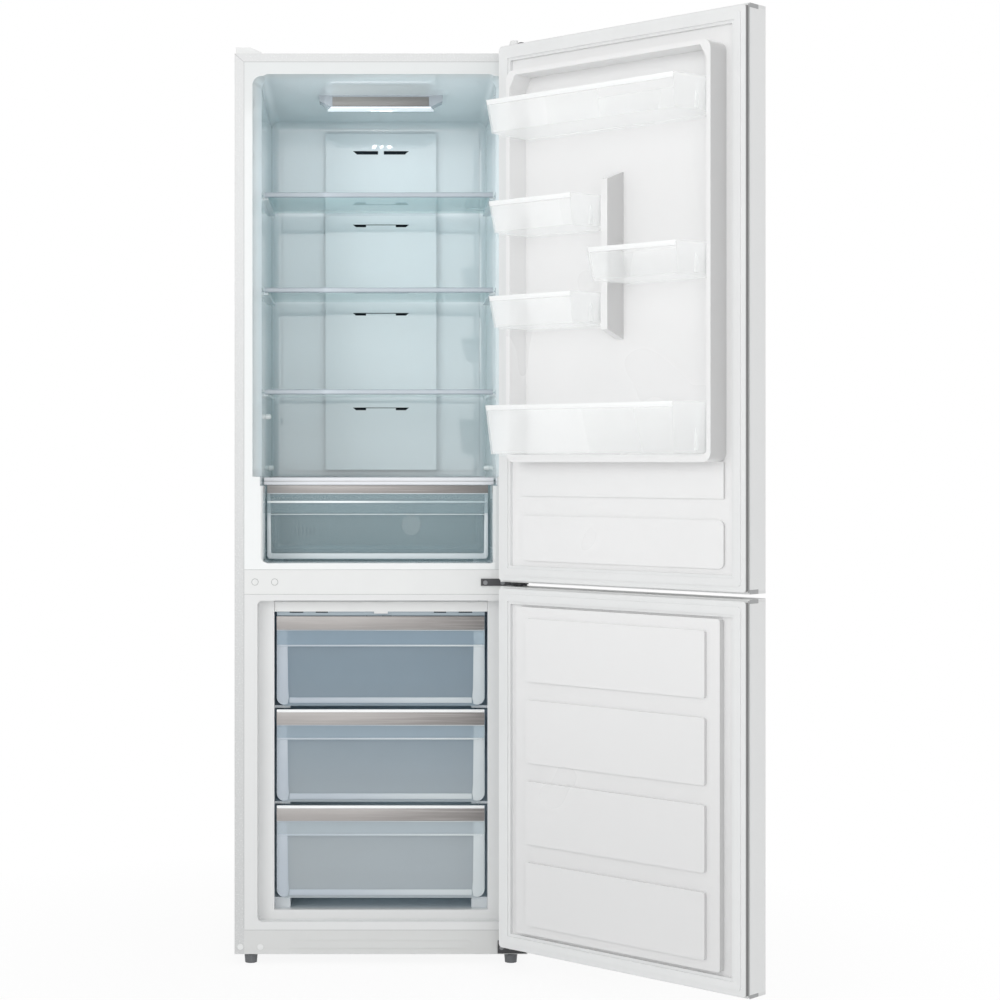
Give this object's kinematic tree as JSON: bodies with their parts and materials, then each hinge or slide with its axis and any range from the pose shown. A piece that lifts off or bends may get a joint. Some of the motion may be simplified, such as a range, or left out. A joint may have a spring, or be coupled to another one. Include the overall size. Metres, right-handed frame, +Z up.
{
  "type": "bottom freezer refrigerator",
  "caption": "Tall free-standing refrigerator with both doors open: fridge above with glass shelves, crisper and door bins, freezer drawers below",
  "frame": {"origin": "on the floor, below the middle of the cabinet's front plane", "axes": "+X to the right seen from the front, +Y into the cabinet, +Z up"},
  "size_m": [0.9995, 1.1139, 1.8635],
  "materials": {
    "body_enamel": "white enamelled steel sheet, semi-gloss, faintly mottled",
    "door_enamel": "white enamelled steel sheet, semi-gloss",
    "rear_steel": "galvanised steel sheet",
    "pan_steel": "galvanised pressed steel",
    "foam": "rigid polyurethane foam",
    "fridge_liner_plastic": "vacuum formed polystyrene, satin",
    "freezer_liner_plastic": "vacuum formed polystyrene, satin",
    "door_liner_plastic": "vacuum formed polystyrene, satin",
    "front_trim_plastic": "moulded ABS, fine texture",
    "grip_plastic": "moulded ABS, light grey",
    "gasket_pvc": "soft magnetic gasket, light grey PVC",
    "shelf_glass": "tempered float glass",
    "shelf_trim_plastic": "white moulded polystyrene",
    "clear_plastic": "translucent polystyrene, blue-grey",
    "bin_plastic": "translucent polystyrene with white rims",
    "lamp_plastic": "white moulded polystyrene",
    "lens_plastic": "diffusing acrylic",
    "hinge_steel": "black zinc coated steel",
    "screw_steel": "zinc plated steel",
    "foot_plastic": "black nylon",
    "coil_aluminium": "mill finish aluminium",
    "motor_plastic": "black and grey moulded plastic",
    "compressor_enamel": "black enamelled steel",
    "condenser_enamel": "black enamelled steel tube"
  },
  "bodies": {
    "cabinet": {"back_panel": "rear_steel", "base_pan": "pan_steel", "bottom_hinge": "hinge_steel", "compressor": "compressor_enamel", "condenser": "condenser_enamel", "cord_gland": "motor_plastic", "drip_tray": "motor_plastic", "duct_cover": "fridge_liner_plastic", "evaporator": "coil_aluminium", "evaporator_cover": "freezer_liner_plastic", "fan_motor": "motor_plastic", "freezer_liner": "freezer_liner_plastic", "freezer_top_panel": "freezer_liner_plastic", "fridge_liner": "fridge_liner_plastic", "hinge_covers": "front_trim_plastic", "hinge_screws": "screw_steel", "insulation": "foam", "kick_panel": "front_trim_plastic", "lamp_housing": "lamp_plastic", "lamp_lens": "lens_plastic", "middle_hinge": "hinge_steel", "mullion_rail": "front_trim_plastic", "outer_shell": "body_enamel", "screw_caps": "front_trim_plastic", "top_hinge": "hinge_steel"},
    "upper_door": {"upper_door_end_caps": "front_trim_plastic", "upper_door_gasket": "gasket_pvc", "upper_door_grip": "grip_plastic", "upper_door_insulation": "foam", "upper_door_liner": "door_liner_plastic", "upper_door_panel": "door_enamel"},
    "lower_door": {"lower_door_end_caps": "front_trim_plastic", "lower_door_gasket": "gasket_pvc", "lower_door_grip": "grip_plastic", "lower_door_insulation": "foam", "lower_door_liner": "door_liner_plastic", "lower_door_panel": "door_enamel"},
    "shelf_upper": {"shelf_upper_glass": "shelf_glass", "shelf_upper_trim": "shelf_trim_plastic"},
    "shelf_middle": {"shelf_middle_glass": "shelf_glass", "shelf_middle_trim": "shelf_trim_plastic"},
    "shelf_lower": {"shelf_lower_glass": "shelf_glass", "shelf_lower_trim": "shelf_trim_plastic"},
    "crisper_cover": {"crisper_cover_glass": "shelf_glass", "crisper_cover_trim": "shelf_trim_plastic"},
    "crisper_drawer": {"crisper_drawer": "clear_plastic"},
    "freezer_drawer_top": {"freezer_drawer_top": "clear_plastic"},
    "freezer_drawer_middle": {"freezer_drawer_middle": "clear_plastic"},
    "freezer_drawer_bottom": {"freezer_drawer_bottom": "clear_plastic"},
    "bin_top": {"bin_top": "bin_plastic"},
    "bin_hinge_side_upper": {"bin_hinge_side_upper": "bin_plastic"},
    "bin_handle_side": {"bin_handle_side": "bin_plastic"},
    "bin_hinge_side_lower": {"bin_hinge_side_lower": "bin_plastic"},
    "bin_bottom": {"bin_bottom": "bin_plastic"},
    "foot_left": {"foot_left": "foot_plastic"},
    "foot_right": {"foot_right": "foot_plastic"},
    "roller_left": {"roller_left": "foot_plastic"},
    "roller_right": {"roller_right": "foot_plastic"},
    "fan_blade": {"fan_blade": "motor_plastic"}
  },
  "joints": [
    {"name": "upper_door_hinge", "type": "hinge", "parent": "cabinet", "child": "upper_door", "pos_m": [0.279, -0.05, 1.3], "axis": [0, 0, 1], "range_deg": [-136, 0]},
    {"name": "lower_door_hinge", "type": "hinge", "parent": "cabinet", "child": "lower_door", "pos_m": [0.279, -0.05, 0.4], "axis": [0, 0, 1], "range_deg": [-136, 0]},
    {"name": "shelf_upper_slide", "type": "slide", "parent": "cabinet", "child": "shelf_upper", "axis": [0, -1, 0], "range_m": [0, 0.12]},
    {"name": "shelf_middle_slide", "type": "slide", "parent": "cabinet", "child": "shelf_middle", "axis": [0, -1, 0], "range_m": [0, 0.12]},
    {"name": "shelf_lower_slide", "type": "slide", "parent": "cabinet", "child": "shelf_lower", "axis": [0, -1, 0], "range_m": [0, 0.12]},
    {"name": "crisper_cover_slide", "type": "slide", "parent": "cabinet", "child": "crisper_cover", "axis": [0, -1, 0], "range_m": [0, 0.06]},
    {"name": "crisper_slide", "type": "slide", "parent": "cabinet", "child": "crisper_drawer", "axis": [0, -1, 0], "range_m": [0, 0.28]},
    {"name": "freezer_drawer_top_slide", "type": "slide", "parent": "cabinet", "child": "freezer_drawer_top", "axis": [0, -1, 0], "range_m": [0, 0.3]},
    {"name": "freezer_drawer_middle_slide", "type": "slide", "parent": "cabinet", "child": "freezer_drawer_middle", "axis": [0, -1, 0], "range_m": [0, 0.3]},
    {"name": "freezer_drawer_bottom_slide", "type": "slide", "parent": "cabinet", "child": "freezer_drawer_bottom", "axis": [0, -1, 0], "range_m": [0, 0.2]},
    {"name": "bin_top_lift", "type": "slide", "parent": "upper_door", "child": "bin_top", "axis": [0, 0, 1], "range_m": [0, 0.03]},
    {"name": "bin_hinge_side_upper_lift", "type": "slide", "parent": "upper_door", "child": "bin_hinge_side_upper", "axis": [0, 0, 1], "range_m": [0, 0.03]},
    {"name": "bin_handle_side_lift", "type": "slide", "parent": "upper_door", "child": "bin_handle_side", "axis": [0, 0, 1], "range_m": [0, 0.03]},
    {"name": "bin_hinge_side_lower_lift", "type": "slide", "parent": "upper_door", "child": "bin_hinge_side_lower", "axis": [0, 0, 1], "range_m": [0, 0.03]},
    {"name": "bin_bottom_lift", "type": "slide", "parent": "upper_door", "child": "bin_bottom", "axis": [0, 0, 1], "range_m": [0, 0.03]},
    {"name": "foot_left_screw", "type": "slide", "parent": "cabinet", "child": "foot_left", "axis": [0, 0, -1], "range_m": [0, 0.012]},
    {"name": "foot_right_screw", "type": "slide", "parent": "cabinet", "child": "foot_right", "axis": [0, 0, -1], "range_m": [0, 0.012]},
    {"name": "roller_left_spin", "type": "hinge", "parent": "cabinet", "child": "roller_left", "pos_m": [-0.255, 0.53, 0.015], "axis": [1, 0, 0], "continuous": true},
    {"name": "roller_right_spin", "type": "hinge", "parent": "cabinet", "child": "roller_right", "pos_m": [0.255, 0.53, 0.015], "axis": [1, 0, 0], "continuous": true},
    {"name": "fan_spin", "type": "hinge", "parent": "cabinet", "child": "fan_blade", "pos_m": [0, 0.443, 0.638], "axis": [0, 1, 0], "continuous": true}
  ]
}
